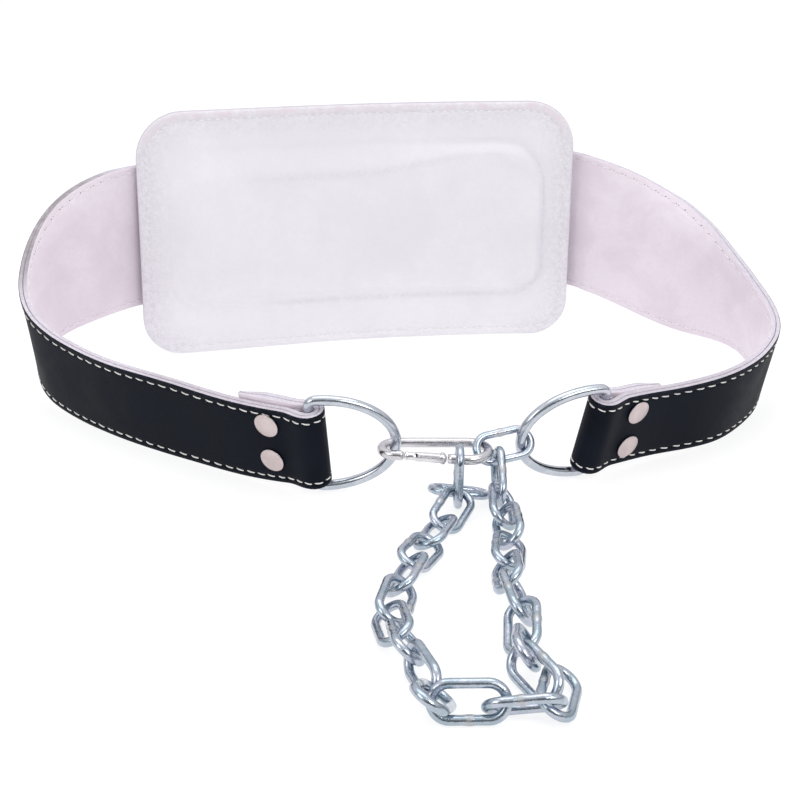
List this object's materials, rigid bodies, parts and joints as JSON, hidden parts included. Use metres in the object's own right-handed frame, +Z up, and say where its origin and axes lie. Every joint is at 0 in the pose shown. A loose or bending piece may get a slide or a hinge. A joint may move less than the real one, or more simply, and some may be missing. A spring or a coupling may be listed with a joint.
{
  "type": "dipping belt",
  "caption": "Leather weightlifting belt with a padded suede back, a two-layer strap ending in riveted D-rings, and a snap hook and chain that carry hung weight in front.",
  "frame": {"origin": "bottom centre of the bounding box, on the surface that the belt stands on", "axes": "+Z up as the belt stands, +Y from the hook and rings to the back pad, +X to the right seen from the front"},
  "size_m": [0.5458, 0.5746, 0.192],
  "materials": {
    "suede_pad": "light grey suede, stitched",
    "black_leather": "smooth semi-gloss",
    "suede_lining": "pinkish white suede",
    "ring_steel": "polished plated steel",
    "rivet_nickel": "satin nickel",
    "hook_steel": "polished steel",
    "chain_zinc": "bright zinc plate"
  },
  "bodies": {
    "belt": {"back_pad": "suede_pad", "strap_outer": "black_leather", "strap_lining": "suede_lining", "d_ring_left": "ring_steel", "d_ring_right": "ring_steel", "rivet_left_upper": "rivet_nickel", "rivet_left_lower": "rivet_nickel", "rivet_right_upper": "rivet_nickel", "rivet_right_lower": "rivet_nickel", "snap_hook_body": "hook_steel", "chain_link_01": "chain_zinc", "chain_link_02": "chain_zinc", "chain_link_03": "chain_zinc", "chain_link_04": "chain_zinc", "chain_link_05": "chain_zinc", "chain_link_06": "chain_zinc", "chain_link_07": "chain_zinc", "chain_link_08": "chain_zinc", "chain_link_09": "chain_zinc", "chain_link_10": "chain_zinc", "chain_link_11": "chain_zinc", "chain_link_12": "chain_zinc", "chain_link_13": "chain_zinc", "chain_link_14": "chain_zinc", "chain_link_15": "chain_zinc", "chain_link_16": "chain_zinc", "chain_link_17": "chain_zinc", "chain_link_18": "chain_zinc", "chain_link_19": "chain_zinc", "chain_link_20": "chain_zinc", "chain_link_21": "chain_zinc", "chain_link_22": "chain_zinc", "chain_link_23": "chain_zinc", "chain_link_24": "chain_zinc"},
    "gate": {"snap_hook_gate": "hook_steel"}
  },
  "joints": [
    {"name": "gate_hinge", "type": "hinge", "parent": "belt", "child": "gate", "pos_m": [0.02627, -0.04898, 0.03151], "axis": [0, 0, -1], "range_deg": [0, 28], "stiffness_Nm_per_rad": 0.03, "springref_deg": -5.73}
  ]
}
